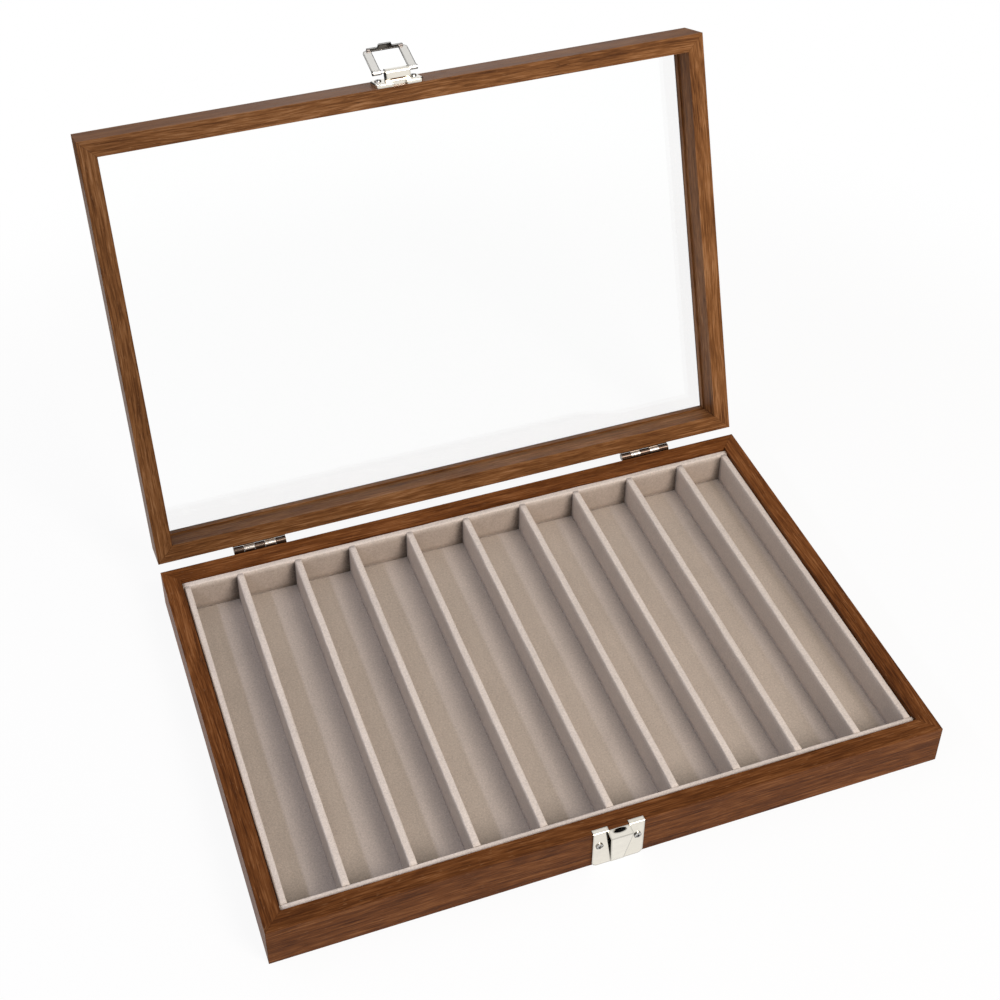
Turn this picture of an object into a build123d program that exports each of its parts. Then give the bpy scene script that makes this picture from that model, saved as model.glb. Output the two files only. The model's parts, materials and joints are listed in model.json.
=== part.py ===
from build123d import *

import os

# Necklace display box: a shallow case with a glazed lid on two butt hinges, a velvet tray with ten long
# pockets, and a hasp that drops over a catch on the front.
# Millimetres. +X is to the right, +Y to the back, +Z up. The origin is the centre of the underside.
# Every piece is drawn as it lies with the case shut and the hasp down. The lid's frame and the hasp's
# frame then carry their pieces to the open pose.

# Case
case_width = 350.0
case_depth = 240.0
base_height = 24.5
lid_height = 24.5
seam_gap = 0.8
rail_width = 9.5
edge_ease = 0.5

# Bottom
panel_thickness = 2.0
panel_bite = 5.0
panel_clearance = 0.2
felt_thickness = 0.4

# Tray
tray_clearance = 0.3
tray_floor_thickness = 1.0
wall_thickness = 4.0
wall_ease = 1.0
rim_to_tray = 1.8
divider_count = 9
divider_thickness = 4.0
end_pocket_width = 24.8
# How far each hand-set divider stands from an even spacing, from left to right
divider_strays = (1.2, 0.6, -1.5, -1.1, -0.7, 0.4, 0.2, 0.6, -0.2)

# Glazing
lip_height = 14.5
lip_thickness = 4.0
lip_proud = 0.8
glass_thickness = 3.0
glass_clearance = 0.5
rebate_wall = 5.5
bead_width = 2.2
bead_clearance = 0.1

# Hinges
lid_opening = 109.5
hinge_spacing = 236.0
leaf_width = 30.0
leaf_height = 13.0
leaf_thickness = 0.9
leaf_corner = 1.5
knuckle_count = 5
knuckle_gap = 0.2
knuckle_radius = 1.9
pin_setback = 2.3
pin_radius = 0.9
pin_clearance = 0.05
leaf_relief = 0.3
leaf_screw_spacing = 20.0
leaf_screw_drop = 8.0

# Latch plate on the lid
latch_offset = -2.1
latch_width = 26.6
latch_foot = 0.3
latch_plate_height = 14.7
latch_plate_thickness = 2.4
latch_corner = 2.5
latch_plate_ease = 0.8
latch_notch_width = 8.0
latch_notch_height = 2.8
latch_screw_spacing = 19.8
latch_screw_height = 9.5
block_width = 13.4
block_size = 5.8
block_reach = 6.1
block_height = 4.6
block_ease = 1.6
block_neck = 3.0

# Keeper plate on the base
keeper_thickness = 1.0
keeper_foot = 0.3
keeper_corner = 3.0
keeper_notch_width = 10.6
keeper_notch_depth = 0.4
keeper_fold = 1.7
keeper_fold_thickness = 0.6
keeper_screw_height = 15.3
catch_width = 11.6
catch_foot_width = 6.8
catch_reach = 4.4
catch_drop = 0.4
catch_foot = 1.2
catch_foot_reach = 1.2
catch_sheet = 0.7
catch_band = 1.2
catch_hole_width = 7.0
catch_hole_depth = 2.4
catch_hole_setback = 1.5

# Hasp
hasp_opening = 150.0
hasp_pin_reach = 7.7
hasp_pin_height = 5.2
hasp_pin_radius = 0.75
hasp_slide = -0.9
hasp_width = 25.2
hasp_window = 15.4
hasp_length = 19.3
hasp_sheet = 1.0
hasp_ease = 0.35
hasp_far_bar = 1.2
hasp_corner = 2.4
hasp_eye_radius = 1.35
hasp_lip = 1.7
hasp_tab = 3.7
hasp_tab_width = 8.2
hasp_tab_taper = 0.5
hasp_tab_corner = 0.8

# Screws
screw_radius = 0.95
screw_length = 7.0
screw_head_radius = 1.9
screw_head_height = 0.5
screw_dome = 0.4
screw_dome_radius = 1.3
screw_slot_width = 0.4
screw_slot_length = 2.0
screw_slot_depth = 0.5
screw_clearance = 0.05

# Worked out from the sizes above
lid_bottom = base_height + seam_gap
lid_top = lid_bottom + lid_height
front = case_depth / 2
back = case_depth / 2
inner_width = case_width - 2 * rail_width
inner_depth = case_depth - 2 * rail_width
panel_bottom = felt_thickness
panel_top = panel_bottom + panel_thickness
floor_top = panel_top + tray_floor_thickness
tray_top = base_height - rim_to_tray
tray_width = inner_width - 2 * tray_clearance
tray_depth = inner_depth - 2 * tray_clearance
pocket_length = tray_depth - 2 * wall_thickness
pocket_row = tray_width - 2 * wall_thickness
inner_pockets = pocket_row - 2 * end_pocket_width - divider_count * divider_thickness
divider_pitch = inner_pockets / (divider_count - 1) + divider_thickness
glass_seat = lid_bottom + lip_height + lip_thickness
hinge_y = back + pin_setback
hinge_z = base_height + seam_gap / 2
hasp_pin_y = -front - hasp_pin_reach
hasp_pin_z = lid_bottom + hasp_pin_height
hasp_foot = hasp_pin_z - hasp_length
block_y = -front - block_reach
block_z = lid_bottom + block_height


def turned(frame, y, z, angle):
    """The frame after its pieces have swung about a line along X through (y, z)."""
    about = Location((0, y, z)) * Location((0, 0, 0), (angle, 0, 0)) * Location((0, -y, -z))
    return Plane(frame.location * about)


base_frame = Plane.XY
lid_frame = turned(base_frame, hinge_y, hinge_z, -lid_opening)
hasp_frame = turned(lid_frame, hasp_pin_y, hasp_pin_z, -hasp_opening)


def on(frame, plane):
    """A drawing plane of the shut case, carried to where its frame now stands."""
    return Plane(frame.location * plane.location)


def rail_plane(frame, side, height):
    """The middle of one side's outer edge at a height: X runs along the rail and Y points inwards."""
    places = {
        "front": ((0, -front, height), 0),
        "right": ((case_width / 2, 0, height), 90),
        "back": ((0, back, height), 180),
        "left": ((-case_width / 2, 0, height), 270),
    }
    point, turn = places[side]
    return Plane(frame.location * Location(point, (0, 0, turn)))


def rail_length(side):
    """The outer length of the rail on one side."""
    return case_width if side in ("front", "back") else case_depth


def mitred_outline(length, near, far):
    """A bar between two distances from the outer edge, mitred at both ends."""
    Polygon(
        (-length / 2 + near, near),
        (length / 2 - near, near),
        (length / 2 - far, far),
        (-length / 2 + far, far),
        align=None,
    )


def drill(plane, points, radius, depth):
    """Holes into the part that is being made, from a face."""
    with BuildSketch(plane) as holes:
        with Locations(*points):
            Circle(radius)
    extrude(holes.sketch, amount=-depth, mode=Mode.SUBTRACT)


# Screw positions, each on the face that the plate lies on
hinge_centres = [-hinge_spacing / 2, hinge_spacing / 2]
base_leaf_screws = [
    (hinge_z - leaf_screw_drop, centre + offset)
    for centre in hinge_centres
    for offset in (-leaf_screw_spacing / 2, leaf_screw_spacing / 2)
]
lid_leaf_screws = [(2 * hinge_z - height, x) for height, x in base_leaf_screws]
latch_screws = [
    (latch_offset - latch_screw_spacing / 2, lid_bottom + latch_screw_height),
    (latch_offset + latch_screw_spacing / 2, lid_bottom + latch_screw_height),
]
keeper_screws = [
    (latch_offset - latch_screw_spacing / 2, keeper_screw_height),
    (latch_offset + latch_screw_spacing / 2, keeper_screw_height),
]
front_face = Plane.XZ.offset(front)
back_face = Plane.ZX.offset(back)
pilot_radius = screw_radius + screw_clearance


def rail(frame, side, bands, screw_face, screw_points):
    """A mitred rail of stacked bands (low, high, width), eased along its outer edges."""
    with BuildPart() as bar:
        for low, high, width in bands:
            with BuildSketch(rail_plane(frame, side, low)):
                mitred_outline(rail_length(side), 0, width)
            extrude(amount=high - low)
        outer_edges = bar.edges().sort_by(SortBy.LENGTH)[-2:]
        fillet(outer_edges, edge_ease)
        if screw_points:
            drill(on(frame, screw_face), screw_points, pilot_radius, screw_length)
    return bar.part


sides = ("front", "right", "back", "left")
base_bands = [
    (0, panel_top, rail_width - panel_bite),
    (panel_top, base_height, rail_width),
]
lid_bands = [
    (lid_bottom, lid_bottom + lip_height, rail_width),
    (lid_bottom + lip_height, glass_seat, rail_width + lip_proud),
    (glass_seat, lid_top, rebate_wall),
]
base_drillings = {"front": (front_face, keeper_screws), "back": (back_face, base_leaf_screws)}
lid_drillings = {"front": (front_face, latch_screws), "back": (back_face, lid_leaf_screws)}
parts = {}

# Rails
for side in sides:
    face, points = base_drillings.get(side, (None, None))
    parts[f"base_{side}_rail"] = rail(base_frame, side, base_bands, face, points)
    face, points = lid_drillings.get(side, (None, None))
    parts[f"lid_{side}_rail"] = rail(lid_frame, side, lid_bands, face, points)

# Bottom panel, in the rails' rebate, and the felt that covers it underneath
panel_width = inner_width + 2 * (panel_bite - panel_clearance)
panel_depth = inner_depth + 2 * (panel_bite - panel_clearance)
with BuildPart() as bottom_panel:
    with BuildSketch(Plane.XY.offset(panel_bottom)):
        Rectangle(panel_width, panel_depth)
    extrude(amount=panel_thickness)
parts["bottom_panel"] = bottom_panel.part

with BuildPart() as bottom_felt:
    with BuildSketch(Plane.XY):
        Rectangle(panel_width, panel_depth)
    extrude(amount=felt_thickness)
parts["bottom_felt"] = bottom_felt.part

# Tray floor
with BuildPart() as tray_floor:
    with BuildSketch(Plane.XY.offset(panel_top)):
        Rectangle(tray_width, tray_depth)
    extrude(amount=tray_floor_thickness)
parts["tray_floor"] = tray_floor.part


def tray_board(x, y, size_x, size_y):
    """A velvet-wrapped board that stands on the tray floor, soft along its top."""
    with BuildPart() as board:
        with BuildSketch(Plane.XY.offset(floor_top)):
            with Locations((x, y)):
                Rectangle(size_x, size_y)
        extrude(amount=tray_top - floor_top)
        run = Axis.X if size_x > size_y else Axis.Y
        fillet(board.faces().sort_by(Axis.Z)[-1].edges().filter_by(run), wall_ease)
    return board.part


# Tray walls and dividers
wall_x = (tray_width - wall_thickness) / 2
wall_y = (tray_depth - wall_thickness) / 2
parts["tray_front_wall"] = tray_board(0, -wall_y, tray_width, wall_thickness)
parts["tray_back_wall"] = tray_board(0, wall_y, tray_width, wall_thickness)
parts["tray_left_wall"] = tray_board(-wall_x, 0, wall_thickness, pocket_length)
parts["tray_right_wall"] = tray_board(wall_x, 0, wall_thickness, pocket_length)
for index in range(divider_count):
    stray = divider_strays[index % len(divider_strays)]
    divider_x = (index - (divider_count - 1) / 2) * divider_pitch + stray
    parts[f"divider_{index + 1}"] = tray_board(divider_x, 0, divider_thickness, pocket_length)

# Glass, laid on the lip that runs round inside the lid
glass_width = case_width - 2 * (rebate_wall + glass_clearance)
glass_depth = case_depth - 2 * (rebate_wall + glass_clearance)
with BuildPart() as lid_glass:
    with BuildSketch(on(lid_frame, Plane.XY.offset(glass_seat))):
        Rectangle(glass_width, glass_depth)
    extrude(amount=glass_thickness)
parts["lid_glass"] = lid_glass.part

# Beads that hold the glass down, mitred like the rails
for side in sides:
    bead_near = rebate_wall + bead_clearance
    with BuildPart() as glass_bead:
        with BuildSketch(rail_plane(lid_frame, side, glass_seat + glass_thickness)):
            mitred_outline(rail_length(side), bead_near, bead_near + bead_width)
        extrude(amount=lid_top - glass_seat - glass_thickness)
    parts[f"{side}_glass_bead"] = glass_bead.part


# Hinges
knuckle_length = (leaf_width - (knuckle_count - 1) * knuckle_gap) / knuckle_count


def knuckle_starts(centre, first):
    """The left ends of every second knuckle of a hinge."""
    pitch = knuckle_length + knuckle_gap
    return [centre - leaf_width / 2 + index * pitch for index in range(first, knuckle_count, 2)]


def hinge_leaf(frame, centre, direction, first_knuckle, screw_points):
    """A leaf on the back of a rail, down (-1) or up (1) from the pin, with its share of the knuckles."""
    with BuildPart() as leaf:
        with BuildSketch(on(frame, back_face)) as outline:
            with Locations((hinge_z + direction * leaf_height / 2, centre)):
                Rectangle(leaf_height, leaf_width)
            far_end = outline.vertices().group_by(Axis.X)[0 if direction < 0 else -1]
            fillet(far_end, leaf_corner)
        extrude(amount=leaf_thickness)
        for start in knuckle_starts(centre, 1 - first_knuckle):
            with BuildSketch(on(frame, Plane.YZ.offset(start - knuckle_gap))):
                with Locations((hinge_y, hinge_z)):
                    Circle(knuckle_radius + leaf_relief)
            extrude(amount=knuckle_length + 2 * knuckle_gap, mode=Mode.SUBTRACT)
        for start in knuckle_starts(centre, first_knuckle):
            with BuildSketch(on(frame, Plane.YZ.offset(start))):
                with Locations((hinge_y, hinge_z)):
                    Circle(knuckle_radius)
            extrude(amount=knuckle_length)
            with BuildSketch(on(frame, Plane.YZ.offset(start))):
                with Locations((hinge_y, hinge_z)):
                    Circle(pin_radius + pin_clearance)
            extrude(amount=knuckle_length, mode=Mode.SUBTRACT)
        drill(on(frame, back_face.offset(leaf_thickness)), screw_points, pilot_radius, leaf_thickness)
    return leaf.part


for name, centre in zip(("left", "right"), hinge_centres):
    own_base_screws = [point for point in base_leaf_screws if point[1] * centre > 0]
    own_lid_screws = [point for point in lid_leaf_screws if point[1] * centre > 0]
    parts[f"{name}_hinge_base_leaf"] = hinge_leaf(base_frame, centre, -1, 0, own_base_screws)
    parts[f"{name}_hinge_lid_leaf"] = hinge_leaf(lid_frame, centre, 1, 1, own_lid_screws)
    with BuildPart() as hinge_pin:
        with BuildSketch(Plane.YZ.offset(centre - leaf_width / 2)):
            with Locations((hinge_y, hinge_z)):
                Circle(pin_radius)
        extrude(amount=leaf_width)
    parts[f"{name}_hinge_pin"] = hinge_pin.part


def screw_group(plane, points):
    """Cross-head screws through a plate: the plane is the plate's outer face."""
    with BuildPart(plane) as group:
        base = (Align.CENTER, Align.CENTER, Align.MIN)
        with Locations(*points):
            Cylinder(screw_head_radius, screw_head_height, align=base)
        with Locations(*[(x, y, screw_head_height) for x, y in points]):
            Cone(screw_head_radius, screw_dome_radius, screw_dome, align=base)
        with Locations(*[(x, y, -screw_length) for x, y in points]):
            Cylinder(screw_radius, screw_length, align=base)
        slot_bottom = screw_head_height + screw_dome - screw_slot_depth
        with Locations(*[(x, y, slot_bottom) for x, y in points]):
            Box(screw_slot_length, screw_slot_width, screw_slot_depth, align=base, mode=Mode.SUBTRACT)
            Box(screw_slot_width, screw_slot_length, screw_slot_depth, align=base, mode=Mode.SUBTRACT)
    return group.part


# Screws
leaf_top_face = back_face.offset(leaf_thickness)
latch_top_face = front_face.offset(latch_plate_thickness)
keeper_top_face = front_face.offset(keeper_thickness)
parts["base_hinge_screws"] = screw_group(leaf_top_face, base_leaf_screws)
parts["lid_hinge_screws"] = screw_group(on(lid_frame, leaf_top_face), lid_leaf_screws)
parts["latch_plate_screws"] = screw_group(on(lid_frame, latch_top_face), latch_screws)
parts["keeper_screws"] = screw_group(keeper_top_face, keeper_screws)

# Latch plate on the lid's front, with the block that carries the hasp's pin
latch_low = lid_bottom + latch_foot
with BuildPart() as latch_plate:
    with BuildSketch(on(lid_frame, front_face)):
        with Locations((latch_offset, latch_low + latch_plate_height / 2)):
            RectangleRounded(latch_width, latch_plate_height, latch_corner)
    extrude(amount=latch_plate_thickness)
    outer_face = latch_plate.faces().sort_by(Axis(lid_frame.origin, -lid_frame.y_dir))[-1]
    fillet(outer_face.edges(), latch_plate_ease)
    with BuildSketch(on(lid_frame, front_face)):
        with Locations((latch_offset, latch_low + latch_notch_height / 2)):
            Rectangle(latch_notch_width, latch_notch_height)
    extrude(amount=latch_plate_thickness, mode=Mode.SUBTRACT)
    with BuildSketch(on(lid_frame, Plane.YZ.offset(latch_offset - block_width / 2))):
        with Locations((block_y, block_z)):
            RectangleRounded(block_size, block_size, block_ease)
        neck_reach = block_reach - latch_plate_thickness + latch_plate_ease
        neck_low = block_z + block_size / 2 - block_neck
        with Locations((-front - latch_plate_thickness + latch_plate_ease, neck_low)):
            Rectangle(neck_reach, block_neck, align=(Align.MAX, Align.MIN))
    extrude(amount=block_width)
    with BuildSketch(on(lid_frame, Plane.YZ.offset(latch_offset - block_width / 2))):
        with Locations((hasp_pin_y, hasp_pin_z)):
            Circle(hasp_pin_radius + pin_clearance)
    extrude(amount=block_width, mode=Mode.SUBTRACT)
    drill(on(lid_frame, latch_top_face), latch_screws, pilot_radius, latch_plate_thickness)
parts["latch_plate"] = latch_plate.part

# Catch: a strap pressed out of the keeper plate, with a shelf just under the rim and a slope from its
# nose back to the plate's foot
catch_top = base_height - keeper_notch_depth
catch_nose = -front - keeper_thickness - catch_reach
catch_nose_height = catch_top - catch_drop
catch_low = keeper_foot + catch_foot


def catch_half_width(height):
    """Half the catch's width at a height: it narrows from its nose to its foot."""
    share = (height - keeper_foot) / (catch_nose_height - keeper_foot)
    return (catch_foot_width + min(share, 1) * (catch_width - catch_foot_width)) / 2


def catch_outline(heights):
    """The catch from the front, through the given heights, lowest first."""
    right = [(latch_offset + catch_half_width(height), height) for height in heights]
    left = [(latch_offset - catch_half_width(height), height) for height in reversed(heights)]
    Polygon(*right, *left, align=None)


with BuildPart() as catch:
    with BuildSketch(Plane.YZ.offset(latch_offset - catch_width / 2)):
        with BuildLine():
            Polyline(
                (-front, keeper_foot),
                (-front, catch_low),
                (-front - keeper_thickness, catch_low),
                (catch_nose + catch_sheet, catch_nose_height - catch_sheet),
                (-front - keeper_thickness, catch_top - catch_sheet),
                (-front, catch_top - catch_sheet),
                (-front, catch_top),
                (-front - keeper_thickness, catch_top),
                (catch_nose, catch_nose_height),
                (-front - catch_foot_reach, keeper_foot),
                close=True,
            )
        make_face()
    extrude(amount=catch_width)
    with BuildSketch(front_face):
        catch_outline([keeper_foot, catch_nose_height, catch_top])
    extrude(amount=keeper_thickness + catch_reach, mode=Mode.INTERSECT)

# Keeper plate on the base's front: a sheet with two lugs that fold over the rim, and the catch between
# them
with BuildPart() as keeper_plate:
    with BuildSketch(front_face):
        with Locations((latch_offset, (keeper_foot + base_height) / 2)):
            Rectangle(latch_width, base_height - keeper_foot)
    extrude(amount=keeper_thickness)
    feet = keeper_plate.edges().filter_by(Axis.Y).group_by(Axis.Z)[0]
    fillet(feet, keeper_corner)
    with BuildSketch(Plane.XY.offset(base_height)):
        with Locations((latch_offset, -front - keeper_thickness)):
            Rectangle(latch_width, keeper_thickness + keeper_fold, align=(Align.CENTER, Align.MIN))
    extrude(amount=keeper_fold_thickness)
    bend = keeper_plate.edges().filter_by(Axis.X).group_by(Axis.Z)[-1].sort_by(Axis.Y)[0]
    fillet(bend, keeper_fold_thickness)
    with BuildSketch(front_face.offset(-keeper_fold)):
        with Locations((latch_offset, catch_top)):
            Rectangle(
                keeper_notch_width,
                keeper_notch_depth + keeper_fold_thickness,
                align=(Align.CENTER, Align.MIN),
            )
    extrude(amount=keeper_fold + keeper_thickness, mode=Mode.SUBTRACT)
    with BuildSketch(front_face):
        catch_outline([catch_low, catch_top - catch_band])
    extrude(amount=keeper_thickness, mode=Mode.SUBTRACT)
    add(catch.part)
    with BuildSketch(Plane.XY.offset(catch_top - catch_band)):
        with Locations((latch_offset, -front - catch_hole_setback)):
            Ellipse(catch_hole_width / 2, catch_hole_depth / 2)
    extrude(amount=catch_band, mode=Mode.SUBTRACT)
    drill(keeper_top_face, keeper_screws, pilot_radius, keeper_thickness)
parts["keeper_plate"] = keeper_plate.part

# Hasp: a flat ring with an eye at the foot of each arm, a lip turned in along its free end and a
# finger tab in the middle of the lip
hasp_back = -hasp_pin_y - hasp_sheet / 2
hasp_centre = latch_offset + hasp_slide
hasp_left = hasp_centre - hasp_width / 2
arm_width = (hasp_width - hasp_window) / 2
with BuildPart() as hasp_ring:
    with BuildSketch(on(hasp_frame, Plane.XZ.offset(hasp_back))) as ring_face:
        with Locations((hasp_centre, hasp_foot)):
            Rectangle(hasp_width, hasp_length, align=(Align.CENTER, Align.MIN))
        fillet(ring_face.vertices().group_by(Axis.Y)[0], hasp_corner)
        with Locations((hasp_centre, hasp_foot + hasp_far_bar)):
            Rectangle(
                hasp_window,
                hasp_length - hasp_far_bar,
                align=(Align.CENTER, Align.MIN),
                mode=Mode.SUBTRACT,
            )
    extrude(amount=hasp_sheet)
    fillet(hasp_ring.faces().sort_by(SortBy.AREA)[-2:].edges(), hasp_ease)
    for arm_left in (hasp_left, hasp_left + hasp_width - arm_width):
        with BuildSketch(on(hasp_frame, Plane.YZ.offset(arm_left))):
            with Locations((hasp_pin_y, hasp_pin_z)):
                Circle(hasp_eye_radius)
        extrude(amount=arm_width)
        with BuildSketch(on(hasp_frame, Plane.YZ.offset(arm_left))):
            with Locations((hasp_pin_y, hasp_pin_z)):
                Circle(hasp_pin_radius + pin_clearance)
        extrude(amount=arm_width, mode=Mode.SUBTRACT)
    lip_width = hasp_width - 2 * hasp_corner
    with BuildSketch(on(hasp_frame, Plane.XY.offset(hasp_foot))):
        with Locations((hasp_centre, -hasp_back)):
            Rectangle(lip_width, hasp_lip - hasp_sheet / 2, align=(Align.CENTER, Align.MIN))
    extrude(amount=hasp_far_bar)
    tab_root = hasp_tab_width / 2
    tab_tip = tab_root - hasp_tab_taper
    with BuildSketch(on(hasp_frame, Plane.XY.offset(hasp_foot))) as tab:
        Polygon(
            (hasp_centre - tab_root, -hasp_back),
            (hasp_centre + tab_root, -hasp_back),
            (hasp_centre + tab_tip, hasp_pin_y + hasp_tab),
            (hasp_centre - tab_tip, hasp_pin_y + hasp_tab),
            align=None,
        )
        fillet(tab.vertices().group_by(Axis.Y)[-1], hasp_tab_corner)
    extrude(amount=hasp_far_bar)
parts["hasp_ring"] = hasp_ring.part

with BuildPart() as hasp_pin:
    with BuildSketch(on(hasp_frame, Plane.YZ.offset(hasp_left))):
        with Locations((hasp_pin_y, hasp_pin_z)):
            Circle(hasp_pin_radius)
    extrude(amount=hasp_width)
parts["hasp_pin"] = hasp_pin.part

os.makedirs("parts", exist_ok=True)
for name, part in parts.items():
    part.label = name
    export_step(part, f"parts/{name}.step")
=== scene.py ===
import json
import math

import bpy
from mathutils import Matrix, Vector, noise


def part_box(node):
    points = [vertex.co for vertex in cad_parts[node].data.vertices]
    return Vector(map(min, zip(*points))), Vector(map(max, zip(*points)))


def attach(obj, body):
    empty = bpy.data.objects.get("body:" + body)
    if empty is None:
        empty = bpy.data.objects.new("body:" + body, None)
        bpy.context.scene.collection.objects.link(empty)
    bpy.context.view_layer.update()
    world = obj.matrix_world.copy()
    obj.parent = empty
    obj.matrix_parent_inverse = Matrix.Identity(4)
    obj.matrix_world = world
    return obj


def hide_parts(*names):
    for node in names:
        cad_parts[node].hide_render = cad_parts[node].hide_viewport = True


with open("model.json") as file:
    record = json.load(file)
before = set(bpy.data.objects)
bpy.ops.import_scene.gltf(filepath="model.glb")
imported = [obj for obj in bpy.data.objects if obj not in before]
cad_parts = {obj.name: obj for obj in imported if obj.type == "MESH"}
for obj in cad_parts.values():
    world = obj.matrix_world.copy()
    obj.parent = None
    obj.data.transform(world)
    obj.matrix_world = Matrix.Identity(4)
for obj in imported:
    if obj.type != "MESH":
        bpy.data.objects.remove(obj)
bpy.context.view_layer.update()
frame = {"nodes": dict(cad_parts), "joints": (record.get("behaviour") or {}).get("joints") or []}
scene = bpy.context.scene
scene.view_settings.view_transform = "Standard"

# Camera, at the photograph's place, with the photograph's principal point in pixels
PICTURE = 1000
FOCAL = 1710.59
CENTRE_COLUMN = 476.39
CENTRE_ROW = 360.32
SENSOR = 36.0
CAMERA_PLACE = Vector((-0.23063, -0.56903, 0.70590))
CAMERA_AZIMUTH = math.radians(19.314)
CAMERA_ELEVATION = math.radians(38.501)
CAMERA_ROLL = math.radians(-0.161)

camera_data = bpy.data.cameras.new("camera")
camera_data.sensor_width = SENSOR
camera_data.lens = SENSOR * FOCAL / PICTURE
camera_data.shift_x = 0.5 - CENTRE_COLUMN / PICTURE
camera_data.shift_y = CENTRE_ROW / PICTURE - 0.5
camera = bpy.data.objects.new("camera", camera_data)
look = Vector((
    math.sin(CAMERA_AZIMUTH) * math.cos(CAMERA_ELEVATION),
    math.cos(CAMERA_AZIMUTH) * math.cos(CAMERA_ELEVATION),
    -math.sin(CAMERA_ELEVATION),
))
level = look.to_track_quat("-Z", "Y").to_matrix()
rolled = level @ Matrix.Rotation(CAMERA_ROLL, 3, "Z")
camera.matrix_world = Matrix.Translation(CAMERA_PLACE) @ rolled.to_4x4()
scene.collection.objects.link(camera)
scene.camera = camera

# Sizes of the case, and the place and travel of the lid's hinge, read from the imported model
case_low, case_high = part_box("base_front_rail")
HALF_WIDTH = case_high[0]
HALF_DEPTH = -case_low[1]
RIM = case_high[2]
joints = {joint["name"]: joint for joint in frame["joints"]}
HINGE = Vector(joints["lid_hinge"]["pos_m"])
OPENED = math.radians(joints["lid_hinge"]["range_deg"][1])


class Value:
    """A node's output that takes part in Python arithmetic."""

    def __init__(self, finish, socket):
        self.finish = finish
        self.socket = socket

    def __add__(self, other):
        return self.finish.maths("ADD", self, other)

    def __sub__(self, other):
        return self.finish.maths("SUBTRACT", self, other)

    def __rsub__(self, other):
        return self.finish.maths("SUBTRACT", other, self)

    def __mul__(self, other):
        return self.finish.maths("MULTIPLY", self, other)

    def __pow__(self, other):
        return self.finish.maths("POWER", self, other)

    def __abs__(self):
        return self.finish.maths("ABSOLUTE", self)

    __radd__ = __add__
    __rmul__ = __mul__


class Finish:
    """The node tree of a material or of the world."""

    def __init__(self, owner):
        owner.use_nodes = True
        self.owner = owner
        self.tree = owner.node_tree
        self.tree.nodes.clear()

    def node(self, kind, settings, inputs, output=0):
        """Adds a node: its settings first, then the values or links of its sockets, by name or by place."""
        made = self.tree.nodes.new("ShaderNode" + kind)
        for name, setting in settings.items():
            if name == "stops":
                self.set_stops(made.color_ramp, setting)
            else:
                setattr(made, name, setting)
        pairs = inputs.items() if isinstance(inputs, dict) else enumerate(inputs)
        for key, value in pairs:
            if isinstance(value, Value):
                self.tree.links.new(value.socket, made.inputs[key])
            else:
                made.inputs[key].default_value = value
        return Value(self, made.outputs[output]) if made.outputs else None

    def set_stops(self, ramp, stops):
        """Gives a colour ramp its stops, each a position and a colour."""
        while len(ramp.elements) < len(stops):
            ramp.elements.new(1.0)
        for element, (position, colour) in zip(ramp.elements, stops):
            element.position = position
            element.color = (*colour, 1.0)

    def maths(self, operation, *values):
        return self.node("Math", {"operation": operation}, values)

    def clamp(self, value):
        return self.node("Clamp", {}, [value])

    def step(self, value, low, high):
        """0 below low, 1 above high and a smooth rise between."""
        return self.node("MapRange", {"interpolation_type": "SMOOTHSTEP"}, [value, low, high, 0.0, 1.0])

    def vector(self, x, y, z):
        return self.node("CombineXYZ", {}, [x, y, z])

    def noise(self, place, scale, detail=2.0, roughness=0.5):
        inputs = {"Vector": place, "Scale": scale, "Detail": detail, "Roughness": roughness}
        return self.node("TexNoise", {}, inputs)

    def ramp(self, value, stops):
        return self.node("ValToRGB", {"stops": stops}, [value])

    def mix(self, factor, one, other):
        """Blends two colours, which sit in the colour sockets of the Mix node."""
        inputs = {0: factor, 6: self.solid(one), 7: self.solid(other)}
        return self.node("Mix", {"data_type": "RGBA"}, inputs, 2)

    def solid(self, colour):
        return colour if isinstance(colour, Value) else (*colour, 1.0)

    def stained(self, colour, mask, stain):
        """Lays a stain, which is its share and its colour, over a colour where the mask is 1."""
        share, tint = stain
        return self.mix(mask * share, colour, tint)

    def scaled(self, colour, share):
        """Makes a colour lighter or darker."""
        return self.node("VectorMath", {"operation": "SCALE"}, {"Vector": colour, "Scale": share})

    def part(self, vector, axis):
        return self.node("SeparateXYZ", {}, [vector], axis)

    def parts(self, vector):
        return [self.part(vector, axis) for axis in ("X", "Y", "Z")]

    def place(self):
        return self.node("TexCoord", {}, [], "Object")

    def shut_place(self, body):
        """The point's X, Y and Z in the shut case, for a piece of the base or of the lid."""
        place = self.place()
        if body == "lid":
            turn = {"Vector": place, "Center": HINGE, "Angle": OPENED}
            place = self.node("VectorRotate", {"rotation_type": "X_AXIS"}, turn)
        return self.parts(place)

    def rays(self):
        """1 for a ray from the camera, for one off a glossy surface and for one through glass."""
        kinds = ("Is Camera Ray", "Is Glossy Ray", "Is Transmission Ray")
        return [self.node("LightPath", {}, [], kind) for kind in kinds]

    def bump(self, height, strength, distance):
        return self.node("Bump", {}, {"Height": height, "Strength": strength, "Distance": distance})

    def surface(self, inputs):
        """Ends the material in a Principled shader with these sockets set."""
        shader = self.node("BsdfPrincipled", {}, inputs)
        self.node("OutputMaterial", {}, [shader])
        return self.owner


def material(name):
    return Finish(bpy.data.materials.new(name))


# Walnut-grain wrap: its colours from the darkest grain line to the lightest, how light each half is, the
# lid's lighter tone being painted light, and how much lighter each half grows per metre towards the right and
# towards the back, which is painted light too
WALNUT = [
    (0.20, (0.055, 0.0150, 0.0040)),
    (0.42, (0.110, 0.0330, 0.0085)),
    (0.58, (0.160, 0.0510, 0.0140)),
    (0.80, (0.250, 0.0950, 0.0340)),
]
TONE_AND_PAINTED_LIGHT = {"base": (1.0, 1.08, 1.05), "lid": (1.24, 1.63, 1.98)}
PAINTED_LIGHT_DRIFTS = {"base": (0.35, 1.1), "lid": (1.1, 0.0)}

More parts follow.
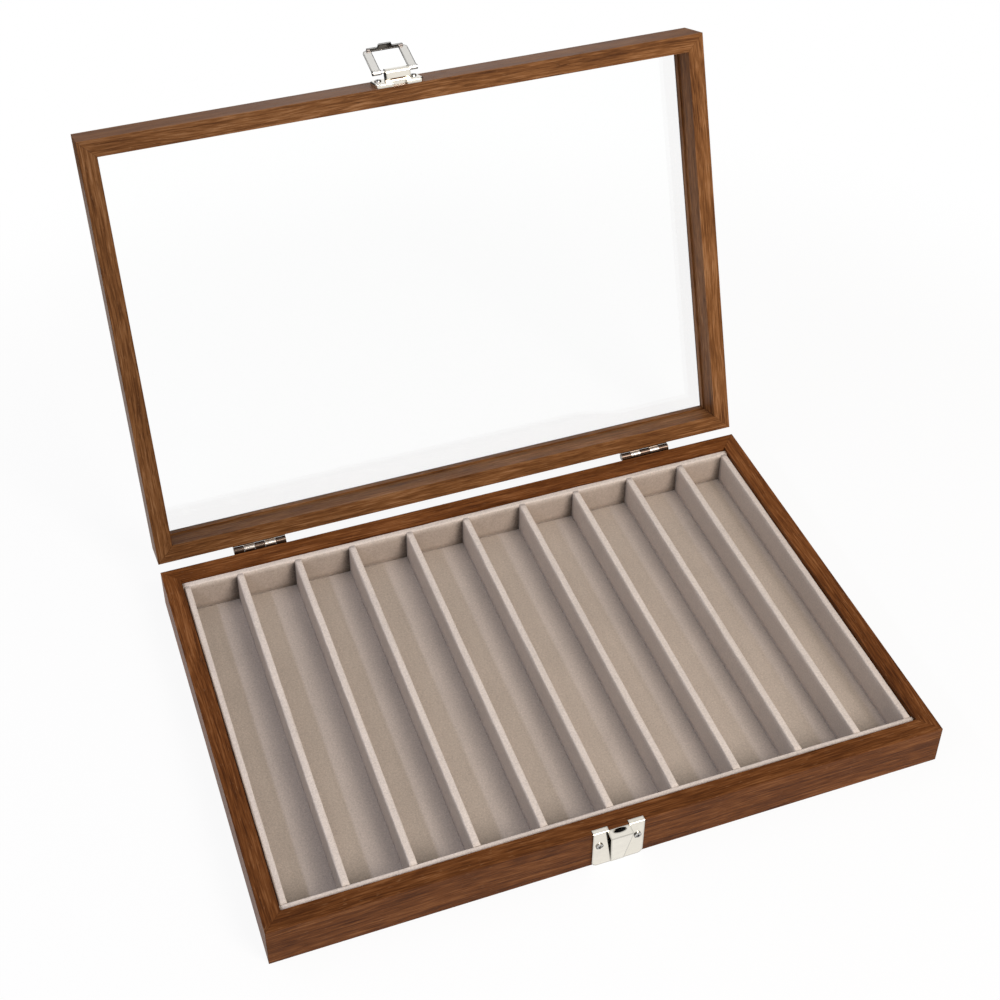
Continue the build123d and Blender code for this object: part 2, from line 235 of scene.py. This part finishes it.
# Its grain, from broad to fine: repeats per metre along the rail and across it, the noise's detail and
# roughness, and how much the layer counts
GRAIN = {
    "bands": (5.0, 120.0, 2.0, 0.5, 0.45),
    "clouds": (30.0, 75.0, 2.0, 0.5, 0.35),
    "streaks": (17.0, 620.0, 3.0, 0.6, 0.8),
    "threads": (85.0, 1700.0, 2.0, 0.5, 0.9),
}

# How the grain lines wander: repeats per metre along and across, and how far they go
WANDER_RATES = (7.0, 16.0)
WANDER_ACROSS = 0.008
WANDER_UP = 0.006

# Pores and pale flecks: repeats per metre along and across, and the noise where they begin and are full
PORES = (130.0, 1900.0, 0.61, 0.72)
FLECKS = (260.0, 1625.0, 0.65, 0.76)

# What lies over the grain: its strongest share and its colour. Pores, flecks and the mitre line are the
# wrap's own; the lid's front gets a painted sheen, and the pane's seat and the catch's hole get painted shade
PORE_STAIN = (0.45, (0.035, 0.012, 0.004))
FLECK_STAIN = (0.25, (0.36, 0.19, 0.09))
MITRE_STAIN = (0.4, (0.012, 0.004, 0.002))
LID_FRONT_PAINTED_SHEEN = (0.18, (0.44, 0.22, 0.12))
SEAT_PAINTED_SHADOW = (0.8, (0.012, 0.013, 0.016))
CATCH_PAINTED_SHADE = (1.0, (0.006, 0.005, 0.004))

# Where it lies: how far the mitre line reaches to each side, the skin of a front face, which takes the lid's
# painted sheen and the catch's painted shade, the pane's seat in the lid with the reach of its painted shadow
# up and down, the rails' inner faces, and the painted shade of the hole behind the catch
MITRE_LINE = 0.00016
FRONT_SKIN = (0.0001, 0.0004)
GLASS_SEAT = RIM + 0.0193
SEAT_SHADOW = 0.0013
INNER_FACE = (0.003, 0.005)
CATCH_X = sum(corner[0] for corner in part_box("keeper_plate")) / 2
CATCH_HALF = (0.0046, 0.0049)
CATCH_TOP = (RIM - 0.0006, RIM - 0.0003)


def stretched(finish, along, across, height, rates):
    """A place for noise that is drawn out along the grain."""
    along_rate, across_rate = rates
    return finish.vector(along * along_rate, across * across_rate, height * across_rate)


def marks(finish, along, across, height, kind):
    """Short marks along the grain, 1 where they are full."""
    *rates, begin, full = kind
    return finish.step(finish.noise(stretched(finish, along, across, height, rates), 1.0, 1.0), begin, full)


def walnut(name, body, runs_along_x):
    """Grain that runs along a rail, with wandering lines, pores, pale flecks and a mitre line, and painted
    light over it: lighter towards the right and back, a painted sheen on the lid's front, and painted shade
    at the pane's seat and under the catch.
    """
    finish = material(name)
    x, y, z = finish.shut_place(body)
    along, across = (x, y) if runs_along_x else (y, x)
    wander = finish.noise(stretched(finish, along, across, z, WANDER_RATES), 1.0, 2.0) - 0.5
    line_across = across + wander * WANDER_ACROSS
    line_height = z + wander * WANDER_UP
    layers = {}
    tone = 0.5
    for layer, (along_rate, across_rate, detail, roughness, weight) in GRAIN.items():
        place = stretched(finish, along, line_across, line_height, (along_rate, across_rate))
        layers[layer] = finish.noise(place, 1.0, detail, roughness)
        tone = tone + (layers[layer] - 0.5) * weight
    # Painted light: the lid's ramp is lighter than the base's, and each half grows lighter towards the right
    # and the back
    stops = [(stop, [part * share for part, share in zip(shade, TONE_AND_PAINTED_LIGHT[body])]) for stop, shade in WALNUT]
    painted_light_right, painted_light_back = PAINTED_LIGHT_DRIFTS[body]
    colour = finish.scaled(finish.ramp(tone, stops), 1.0 + x * painted_light_right + y * painted_light_back)
    pores = marks(finish, along, across, z, PORES)
    colour = finish.stained(colour, pores, PORE_STAIN)
    colour = finish.stained(colour, marks(finish, along, across, z, FLECKS), FLECK_STAIN)
    mitre = abs((HALF_WIDTH - abs(x)) - (HALF_DEPTH - abs(y)))
    joint = 1.0 - finish.step(mitre, 0.3 * MITRE_LINE, 1.6 * MITRE_LINE)
    colour = finish.stained(colour, joint, MITRE_STAIN)
    front_skin = 1.0 - finish.step(HALF_DEPTH + y, *FRONT_SKIN)
    if body == "lid":
        # Painted sheen: the lid's outer front face is made lighter and greyer
        colour = finish.stained(colour, front_skin, LID_FRONT_PAINTED_SHEEN)
        # Painted shadow: a dark line along the pane's seat on the rails' inner faces
        seat = 1.0 - finish.step(abs(z - GLASS_SEAT), 0.3 * SEAT_SHADOW, SEAT_SHADOW)
        inside = finish.step(HALF_WIDTH - abs(x), *INNER_FACE) * finish.step(HALF_DEPTH - abs(y), *INNER_FACE)
        colour = finish.stained(colour, seat * inside, SEAT_PAINTED_SHADOW)
    else:
        # Painted shade: the base's front face goes nearly black where it shows through the catch's hole
        hole = (1.0 - finish.step(abs(x - CATCH_X), *CATCH_HALF)) * (1.0 - finish.step(z, *CATCH_TOP))
        colour = finish.stained(colour, hole * front_skin, CATCH_PAINTED_SHADE)
    height = layers["streaks"] * 0.5 + layers["threads"] * 0.4 - pores * 0.8 - joint * 1.5
    return finish.surface({
        "Base Color": colour,
        "Roughness": 0.42 + (layers["streaks"] - 0.5) * 0.25 + pores * 0.15,
        "Specular IOR Level": 0.05,
        "Normal": finish.bump(height, 0.3, 0.0001),
    })


# Velvet: its colour in the pockets, a darker copy for the back wall, which is painted shade, and a lighter
# copy along the tops, which is painted light
DEEP_VELVET = (0.510, 0.441, 0.378)
SHADED_VELVET = (0.445, 0.372, 0.312)
PAINTED_LIGHT_TOP_VELVET = (0.675, 0.598, 0.527)
BOARD_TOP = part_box("divider_1")[1][2]
PAINTED_LIGHT_TOP_DEPTH = 0.0045

# How much lighter it grows per metre to the right, which is painted light, and how much each layer of its
# pile lightens it
PAINTED_LIGHT_TO_RIGHT = 0.4
PATCH_SHARE = 0.18
BRUSHED_SHARE = 0.14
PILE_SHARE = 0.6
TUFT_SHARE = 0.5

# Painted shade in the corners of the back wall, each on the left of the board that it ends at
CORNERS = [
    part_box(node)[0][0]
    for node in frame["nodes"]
    if node.startswith("divider") or node == "tray_right_wall"
]
CORNER_WIDTH = 0.006
CORNER_END = (0.0004, 0.0008)
CORNER_TOP = (BOARD_TOP - 0.003, BOARD_TOP - 0.0008)
CORNER_SHADE = 0.62


def velvet(name, deep_tint, corners=()):
    """Short pile: patches where the nap lies another way, streaks of it along the tray and a fine speckle.

    Painted shade darkens it in the corners that end at the given X places, and painted light makes it lighter
    along the tops and towards the right.
    """
    finish = material(name)
    place = finish.place()
    x, y, z = finish.parts(place)
    patches = finish.noise(place, 34.0, 3.0, 0.6) - 0.5
    brushed = finish.noise(finish.vector(x * 170.0, y * 22.0, z * 60.0), 1.0, 2.0) - 0.5
    pile = finish.noise(place, 900.0, 3.0, 0.7) - 0.5
    tufts = finish.noise(place, 2600.0, 1.0) - 0.5
    # Painted light: the tops are made lighter, and the pockets grow lighter towards the right
    painted_light_top = finish.step(z, BOARD_TOP - PAINTED_LIGHT_TOP_DEPTH, BOARD_TOP)
    light = 1.0 + x * PAINTED_LIGHT_TO_RIGHT * (1.0 - painted_light_top) + patches * PATCH_SHARE + brushed * BRUSHED_SHARE
    light = light + pile * PILE_SHARE + tufts * TUFT_SHARE
    # Painted shade in the corners of the back wall, below the tops
    below_top = 1.0 - finish.step(z, *CORNER_TOP)
    for corner in corners:
        corner_painted_shade = finish.step(x - corner, -CORNER_WIDTH, 0.0) - finish.step(x - corner, *CORNER_END)
        light = light - corner_painted_shade * CORNER_SHADE * below_top
    tint = finish.mix(painted_light_top, deep_tint, PAINTED_LIGHT_TOP_VELVET)
    return finish.surface({
        "Base Color": finish.scaled(tint, light),
        "Roughness": 0.95,
        "Specular IOR Level": 0.1,
        "Sheen Weight": 0.25,
        "Sheen Roughness": 0.4,
        "Sheen Tint": (1.0, 0.93, 0.86, 1.0),
        "Normal": finish.bump(pile + tufts * 0.8 + patches * 1.5, 0.45, 0.00025),
    })


# Plating: its colour where it is bright and where it is wiped dull, on leaves and plates and on the hasp
BRIGHT = (0.84, 0.80, 0.71)
WIPED = (0.74, 0.70, 0.62)
HASP_BRIGHT = (0.86, 0.84, 0.80)
HASP_WIPED = (0.78, 0.76, 0.72)

# Its colour on an edge, a painted reflection, on the hasp's underside, painted shade, and on the knuckles of
# each leaf, painted shade and reflection
EDGE_PAINTED_REFLECTION = (0.03, 0.03, 0.03)
UNDERSIDE_PAINTED_SHADE = (0.03, 0.025, 0.025)
BASE_KNUCKLE_PAINTED_SHADE = (0.09, 0.065, 0.05)
LID_KNUCKLE_PAINTED_SHADE = (0.40, 0.36, 0.32)

# How far an edge reaches, how much the surface has turned there, how far down an underside looks, and the
# knuckles' radius
EDGE_REACH = 0.0012
EDGE_TURN = (0.006, 0.05)
UNDER_TURN = (-0.16, -0.02)
KNUCKLE_RADIUS = (0.0025, 0.0029)


def plating(name, light, dark, edge_reflection_share, underside_shade_share=0.0, knuckle_shade=None):
    """Polished plating with faint wiped patches, and edges darkened with a painted reflection.

    It may have an underside darkened with painted shade, and knuckles round the lid's hinge pins darkened
    with painted shade and reflection.
    """
    finish = material(name)
    place = finish.place()
    wiped = finish.noise(place, 260.0, 3.0, 0.6)
    turned = finish.node("Bevel", {"samples": 8}, [EDGE_REACH])
    facing = finish.node("NewGeometry", {}, [], "Normal")
    level = finish.node("VectorMath", {"operation": "DOT_PRODUCT"}, [turned, facing], "Value")
    edge = finish.step(1.0 - level, *EDGE_TURN)
    # Painted reflection: edges, where the surface turns, are darkened
    colour = finish.mix(edge * edge_reflection_share, finish.mix(wiped, light, dark), EDGE_PAINTED_REFLECTION)
    # Painted shade and reflection: the knuckles round the hinge pins are darkened
    if knuckle_shade:
        y, z = finish.part(place, "Y"), finish.part(place, "Z")
        radius = ((y - HINGE.y) ** 2.0 + (z - HINGE.z) ** 2.0) ** 0.5
        colour = finish.mix(1.0 - finish.step(radius, *KNUCKLE_RADIUS), colour, knuckle_shade)
    # Painted shade: the underside is darkened
    if underside_shade_share:
        under = 1.0 - finish.step(finish.part(facing, "Z"), *UNDER_TURN)
        colour = finish.mix(under * underside_shade_share, colour, UNDERSIDE_PAINTED_SHADE)
    return finish.surface({
        "Base Color": colour,
        "Metallic": 1.0,
        "Roughness": 0.07 + wiped * 0.12,
        "Normal": finish.bump(finish.noise(place, 900.0, 2.0), 0.04, 0.00005),
    })


def pane(name):
    """Float glass: a mirror of the strength that glass has at each angle, over what lies behind it."""
    finish = material(name)
    facing = finish.node("LayerWeight", {}, {"Blend": 0.5}, "Facing")
    smears = finish.noise(finish.place(), 30.0, 3.0, 0.6)
    return finish.surface({
        "Base Color": (0.96, 1.0, 0.985, 1.0),
        "Metallic": 1.0,
        "Roughness": 0.01 + smears * 0.03,
        "Alpha": 0.04 + facing ** 5.0 * 0.9,
    })


def flocked_felt(name):
    """Dark felt with short fibres and faint patches."""
    finish = material(name)
    place = finish.place()
    fibres = finish.noise(place, 1400.0, 3.0, 0.7)
    patches = finish.noise(place, 40.0, 3.0)
    colour = finish.mix(fibres * 0.6 + patches * 0.4, (0.012, 0.012, 0.014), (0.055, 0.055, 0.06))
    return finish.surface({
        "Base Color": colour,
        "Roughness": 0.97,
        "Specular IOR Level": 0.1,
        "Sheen Weight": 0.2,
        "Normal": finish.bump(fibres, 0.5, 0.0002),
    })


def fibreboard(name):
    """Plain brown board, speckled with its fibres."""
    finish = material(name)
    place = finish.place()
    fibres = finish.noise(place, 600.0, 4.0, 0.7)
    return finish.surface({
        "Base Color": finish.ramp(fibres, [(0.3, (0.20, 0.12, 0.06)), (0.7, (0.46, 0.32, 0.19))]),
        "Roughness": 0.8,
        "Normal": finish.bump(fibres, 0.3, 0.0002),
    })


# The materials themselves
walnut_finishes = {
    (body, runs_along_x): walnut(f"walnut_{body}_{'wide' if runs_along_x else 'deep'}", body, runs_along_x)
    for body in ("base", "lid")
    for runs_along_x in (True, False)
}
velvet_finish = velvet("velvet", DEEP_VELVET)
# The back wall's velvet is a darker copy, painted shade, with painted shade in its corners
back_wall_finish = velvet("velvet_back_wall_painted_shade", SHADED_VELVET, CORNERS)
metal_finishes = {
    "plate": plating("plated_plates", BRIGHT, WIPED, 0.35),
    "hasp": plating("plated_hasp", HASP_BRIGHT, HASP_WIPED, 0.95, underside_shade_share=0.85),
    "base_leaf": plating("plated_base_leaves", BRIGHT, WIPED, 0.5, knuckle_shade=BASE_KNUCKLE_PAINTED_SHADE),
    "lid_leaf": plating("plated_lid_leaves", BRIGHT, WIPED, 0.5, knuckle_shade=LID_KNUCKLE_PAINTED_SHADE),
}
pane_finish = pane("glass")
felt_finish = flocked_felt("felt")
board_finish = fibreboard("backing_board")


def dress(node, finish):
    """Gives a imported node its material."""
    mesh = frame["nodes"][node].data
    mesh.materials.clear()
    mesh.materials.append(finish)


SIDES = {"front": True, "right": False, "back": True, "left": False}
for side, runs_along_x in SIDES.items():
    dress(f"base_{side}_rail", walnut_finishes["base", runs_along_x])
    dress(f"lid_{side}_rail", walnut_finishes["lid", runs_along_x])
    dress(f"{side}_glass_bead", walnut_finishes["lid", runs_along_x])

# Which plating a fitting gets: the first whose words are in its name
METAL_WORDS = {
    "base_leaf": ("hinge_base_leaf",),
    "lid_leaf": ("hinge_lid_leaf", "hinge_pin"),
    "hasp": ("hasp", "keeper_screws", "latch_plate_screws"),
    "plate": ("screws", "latch", "keeper"),
}
for node in frame["nodes"]:
    fitting = [metal for metal, words in METAL_WORDS.items() if any(word in node for word in words)]
    if fitting:
        dress(node, metal_finishes[fitting[0]])
dress("lid_glass", pane_finish)
dress("bottom_felt", felt_finish)
dress("bottom_panel", board_finish)

# Velvet boards of the tray: how far apart their sections are, the round along their tops with the steps that
# draw it, the steps up their sides, and how far the sides and the top waver
STATION = 0.0025
BOARD_ROUND = 0.0009
ROUND_STEPS = 5
SIDE_STEPS = 5
SIDE_TOP = 0.94
EDGE_WAVE = 0.00022
TOP_WAVE = 0.00022
WAVE_RATE = 55.0
TOP_LINE = 40

# The outer side of each wall, as an axis and a direction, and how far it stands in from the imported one
OUTER_SIDES = {
    "tray_left_wall": (0, -1, 0.0003),
    "tray_right_wall": (0, 1, 0.0003),
    "tray_front_wall": (1, -1, 0.0012),
    "tray_back_wall": (1, 1, 0.0003),
}


def wave(station, line, seed):
    """A slow unevenness along a board, different on each line of its outline."""
    point = Vector((station * WAVE_RATE, line * 0.35, seed * 7.3))
    return noise.noise(point) + 0.5 * noise.noise(point * 2.7)


def board_outline(thickness, height):
    """One board's section, from the foot of one side over the rounded top to the other foot."""
    half = thickness / 2
    side = [(-half, height * SIDE_TOP * step / SIDE_STEPS) for step in range(SIDE_STEPS - 1)]
    turn = [math.pi / 2 * step / ROUND_STEPS for step in range(ROUND_STEPS + 1)]
    corner = [
        (-half + BOARD_ROUND * (1 - math.cos(angle)), height - BOARD_ROUND * (1 - math.sin(angle)))
        for angle in turn
    ]
    left = side + corner
    return left + [(-across, up) for across, up in reversed(left)]


def cove(up, height):
    """How far a board's end reaches over the round of the wall that it meets."""
    share = max(0, (up - height + BOARD_ROUND) / BOARD_ROUND)
    return BOARD_ROUND * (1 - math.sqrt(1 - min(share, 1) ** 2))


def new_piece(name, corners, faces, body, slot_name, finish, *nodes):
    """A mesh piece that rides on a body and stands for the named nodes."""
    mesh = bpy.data.meshes.new(name)
    mesh.from_pydata(corners, [], faces)
    mesh.materials.append(finish)
    for polygon in mesh.polygons:
        polygon.use_smooth = len(polygon.vertices) == 4
    mesh.update()
    piece = bpy.data.objects.new(name, mesh)
    scene.collection.objects.link(piece)
    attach(piece, body)
    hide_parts(*nodes)
    return piece


def velvet_board(node, seed):
    """A velvet-wrapped board in place of a plain one, softly rounded along its top and a little uneven.

    A divider's ends reach over the round of the walls that they meet.
    """
    low, high = (Vector(corner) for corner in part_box(node))
    if node in OUTER_SIDES:
        axis, side, slack = OUTER_SIDES[node]
        outer = low if side < 0 else high
        outer[axis] -= side * slack
    size = high - low
    runs_along_x = size.x > size.y
    length, thickness = (size.x, size.y) if runs_along_x else (size.y, size.x)
    outline = board_outline(thickness, size.z - TOP_WAVE)
    stations = max(2, round(length / STATION))
    middle = low + size / 2
    corners = []
    for index in range(stations + 1):
        run = length * (index / stations - 0.5)
        reach = {0: -1, stations: 1}.get(index, 0) if not runs_along_x else 0
        for line, (across, up) in enumerate(outline):
            share = up / size.z
            push = EDGE_WAVE * share * wave(run, line, seed)
            lift = TOP_WAVE * share * wave(run, line + TOP_LINE, seed)
            side = across - math.copysign(abs(push), across)
            if runs_along_x:
                corners.append((middle.x + run, middle.y + side, low.z + up + lift))
            else:
                end = middle.y + run + reach * cove(up, size.z)
                corners.append((middle.x + side, end, low.z + up + lift))
    count = len(outline)
    faces = [
        (start + line, start + line + 1, start + count + line + 1, start + count + line)
        for start in range(0, stations * count, count)
        for line in range(count - 1)
    ]
    faces += [
        (start + count - 1, start, start + count, start + 2 * count - 1)
        for start in range(0, stations * count, count)
    ]
    faces.append(tuple(reversed(range(count))))
    faces.append(tuple(range(stations * count, (stations + 1) * count)))
    if not runs_along_x:
        faces = [tuple(reversed(face)) for face in faces]
    finish = back_wall_finish if node == "tray_back_wall" else velvet_finish
    return new_piece(node + "_velvet", corners, faces, "base", "velvet", finish, node)


boards = [node for node in sorted(frame["nodes"]) if node.startswith("divider") or node.endswith("_wall")]
for seed, node in enumerate(boards):
    velvet_board(node, seed + 1)

# Velvet on the tray's floor: how far apart its points are, and how much slack it has
FLOOR_STEP = 0.003
FLOOR_WAVE = 0.00010


def velvet_floor(node):
    """Velvet drawn over the tray's floor, with its edge closed down to the underside."""
    low, high = (Vector(corner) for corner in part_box(node))
    size = high - low
    columns = round(size.x / FLOOR_STEP)
    rows = round(size.y / FLOOR_STEP)
    corners = []
    for row in range(rows + 1):
        for column in range(columns + 1):
            x = low.x + size.x * column / columns
            y = low.y + size.y * row / rows
            slack = noise.noise(Vector((x * 45.0, y * 20.0, 3.0)))
            slack += 0.5 * noise.noise(Vector((x * 160.0, y * 90.0, 9.0)))
            corners.append((x, y, high.z - FLOOR_WAVE + FLOOR_WAVE * slack * 0.6))
    top = len(corners)
    corners += [(x, y, low.z) for x, y, z in corners]
    width = columns + 1
    faces = []
    for row in range(rows):
        for column in range(columns):
            start = row * width + column
            faces.append((start, start + 1, start + width + 1, start + width))
            faces.append((top + start + width, top + start + width + 1, top + start + 1, top + start))
    edge = list(range(width))
    edge += [row * width + columns for row in range(1, rows + 1)]
    edge += [rows * width + column for column in reversed(range(columns))]
    edge += [row * width for row in reversed(range(1, rows))]
    for index, start in enumerate(edge):
        end = edge[(index + 1) % len(edge)]
        faces.append((end, start, top + start, top + end))
    return new_piece(node + "_velvet", corners, faces, "base", "velvet", velvet_finish, node)


velvet_floor("tray_floor")

# Floor around the case: a pale round table top, white to the eye and to the metal, with the case's faint
# shadow, which fades before the rim. It is clear from below and open where the case stands, but for a narrow
# lap under the case's edge, so that the underside can be seen.
FLOOR_RADIUS = 0.62
FLOOR_SIDES = 96
FOOTPRINT_LAP = 0.002
SHADOW_FADE = (0.6 * FLOOR_RADIUS, 0.97 * FLOOR_RADIUS)
FLOOR_COLOUR = (0.9, 0.9, 0.9, 1.0)
SHADOW_SHARE = 0.09


def pale_floor():
    """The table top and its finish."""
    finish = material("pale_floor")
    camera_ray, glossy_ray, transmission_ray = finish.rays()
    seen = finish.clamp(camera_ray + glossy_ray + transmission_ray)
    plain = finish.node("BsdfDiffuse", {}, [FLOOR_COLOUR])
    white = finish.node("Emission", {}, {"Color": (1.0, 1.0, 1.0, 1.0), "Strength": 1.0})
    away = finish.node("VectorMath", {"operation": "LENGTH"}, [finish.place()], "Value")
    shadow = SHADOW_SHARE * (1.0 - finish.step(away, *SHADOW_FADE))
    shade = finish.node("MixShader", {}, [seen * (1.0 - shadow), plain, white])
    from_below = finish.node("NewGeometry", {}, [], "Backfacing")
    clear = finish.node("BsdfTransparent", {}, [])
    shade = finish.node("MixShader", {}, [from_below, shade, clear])
    finish.node("OutputMaterial", {}, [shade])
    rim = []
    opening = []
    for side in range(FLOOR_SIDES):
        turn = 2 * math.pi * (side + 0.5) / FLOOR_SIDES
        across, along = math.cos(turn), math.sin(turn)
        reach = min((HALF_WIDTH - FOOTPRINT_LAP) / abs(across), (HALF_DEPTH - FOOTPRINT_LAP) / abs(along))
        rim.append((FLOOR_RADIUS * across, FLOOR_RADIUS * along, 0))
        opening.append((reach * across, reach * along, 0))
    faces = []
    for side in range(FLOOR_SIDES):
        following = (side + 1) % FLOOR_SIDES
        faces.append((side, following, FLOOR_SIDES + following, FLOOR_SIDES + side))
    mesh = bpy.data.meshes.new("pale_floor")
    mesh.from_pydata(rim + opening, [], faces)
    mesh.materials.append(finish.owner)
    piece = bpy.data.objects.new("pale_floor", mesh)
    scene.collection.objects.link(piece)


pale_floor()

# World: an even fill, white to the eye and through glass. The metal sees a white room, and behind the case
# two dark flags, one that stands on the right and one that lies low on the left, with a band of dusk above
FILL = 0.38
FILL_COLOUR = (1.0, 0.98, 0.95)
FLAG_DEPTH = 0.97
DUSK_DEPTH = 0.2


def studio_world():
    """The room that lights the case and that its metal mirrors."""
    world = bpy.data.worlds.new("studio")
    scene.world = world
    finish = Finish(world)
    camera_ray, glossy_ray, transmission_ray = finish.rays()
    x, y, z = finish.parts(finish.node("TexCoord", {}, [], "Generated"))
    behind = finish.step(y, -0.15, 0.1)
    right_flag = finish.step(x, 0.36, 0.42) * (1.0 - finish.step(z, 0.6, 0.7))
    left_flag = (1.0 - finish.step(x, 0.13, 0.17)) * (1.0 - finish.step(z, -0.1, 0.1))
    flags = finish.clamp(right_flag + left_flag)
    dusk = finish.step(z, 0.25, 0.45) - finish.step(z, 0.65, 0.92)
    room = (1.0 - FLAG_DEPTH * behind * flags) * (1.0 - DUSK_DEPTH * behind * dusk)
    seen = finish.clamp(camera_ray + transmission_ray)
    strength = seen + (1.0 - seen) * (glossy_ray * room + (1.0 - glossy_ray) * FILL)
    colour = finish.mix(finish.clamp(seen + glossy_ray), FILL_COLOUR, (1.0, 1.0, 1.0))
    background = finish.node("Background", {}, {"Color": colour, "Strength": strength})
    finish.node("OutputWorld", {}, [background])


studio_world()


def lamp(name, place, size, power, colour):
    """A rectangular lamp that faces the middle of the tray: its size is across and along."""
    data = bpy.data.lights.new(name, "AREA")
    data.shape = "RECTANGLE"
    data.size, data.size_y = size
    data.energy = power
    data.color = colour
    piece = bpy.data.objects.new(name, data)
    place = Vector(place)
    piece.location = place
    piece.rotation_euler = (Vector((0, 0, RIM)) - place).to_track_quat("-Z", "Y").to_euler()
    scene.collection.objects.link(piece)


lamp("cool_lamp", (-0.62, 0.0, 0.68), (0.9, 0.05), 2.3, (0.76, 0.79, 1.0))
lamp("warm_lamp", (0.5, -1.25, 1.25), (0.7, 0.9), 23.5, (1.0, 0.92, 0.87))
